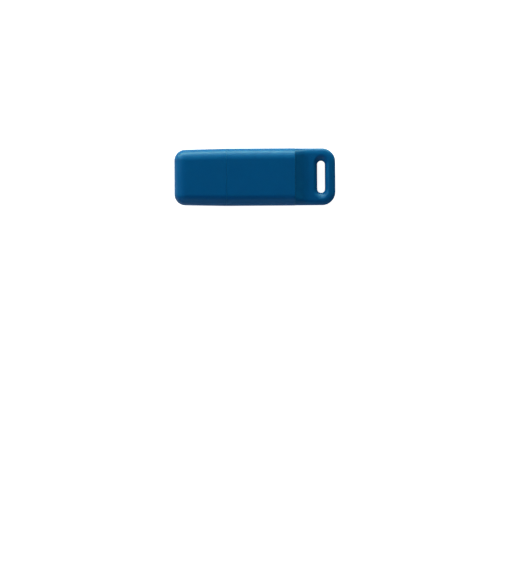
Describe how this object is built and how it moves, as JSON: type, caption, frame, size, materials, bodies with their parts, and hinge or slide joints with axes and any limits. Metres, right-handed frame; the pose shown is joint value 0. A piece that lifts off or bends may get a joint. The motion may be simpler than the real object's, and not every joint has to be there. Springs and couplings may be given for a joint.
{
  "type": "usb flash drive",
  "caption": "Slim USB-A flash drive in blue plastic with a pull-off cap, a split case and a key-ring slot at its tail.",
  "frame": {"origin": "middle of the back face, with the cap on", "axes": "+X from the cap to the key-ring loop, +Z from the back face to the front cover, +Y completes the frame"},
  "size_m": [0.0486, 0.0174, 0.0078],
  "materials": {
    "blue_plastic": "satin moulded plastic with soft rounded edges",
    "nickel_plated_steel": "bright nickel plate",
    "black_plastic": "matt black moulding",
    "gold_plate": "thin gold plate",
    "solder_mask": "green solder mask",
    "chip_package": "matt black epoxy",
    "capacitor_ceramic": "tan ceramic",
    "solder": "bright solder"
  },
  "bodies": {
    "drive": {"back_shell": "blue_plastic", "front_cover": "blue_plastic", "plug_shell": "nickel_plated_steel", "plug_insulator": "black_plastic", "contact_power": "gold_plate", "contact_data_minus": "gold_plate", "contact_data_plus": "gold_plate", "contact_ground": "gold_plate", "circuit_board": "solder_mask", "flash_memory": "chip_package", "controller": "chip_package", "voltage_regulator": "chip_package", "crystal": "nickel_plated_steel", "capacitor_input": "capacitor_ceramic", "capacitor_core": "capacitor_ceramic", "capacitor_flash": "capacitor_ceramic", "capacitor_crystal_1": "capacitor_ceramic", "capacitor_crystal_2": "capacitor_ceramic", "resistor_data_minus": "chip_package", "resistor_data_plus": "chip_package", "resistor_reset": "chip_package", "ferrite_bead": "chip_package", "solder_power": "solder", "solder_data_minus": "solder", "solder_data_plus": "solder", "solder_ground": "solder", "solder_leg_left": "solder", "solder_leg_right": "solder"},
    "cap": {"cap": "blue_plastic"}
  },
  "joints": [
    {"name": "cap_slide", "type": "slide", "parent": "drive", "child": "cap", "axis": [-1, 0, 0], "range_m": [0, 0.025]}
  ]
}
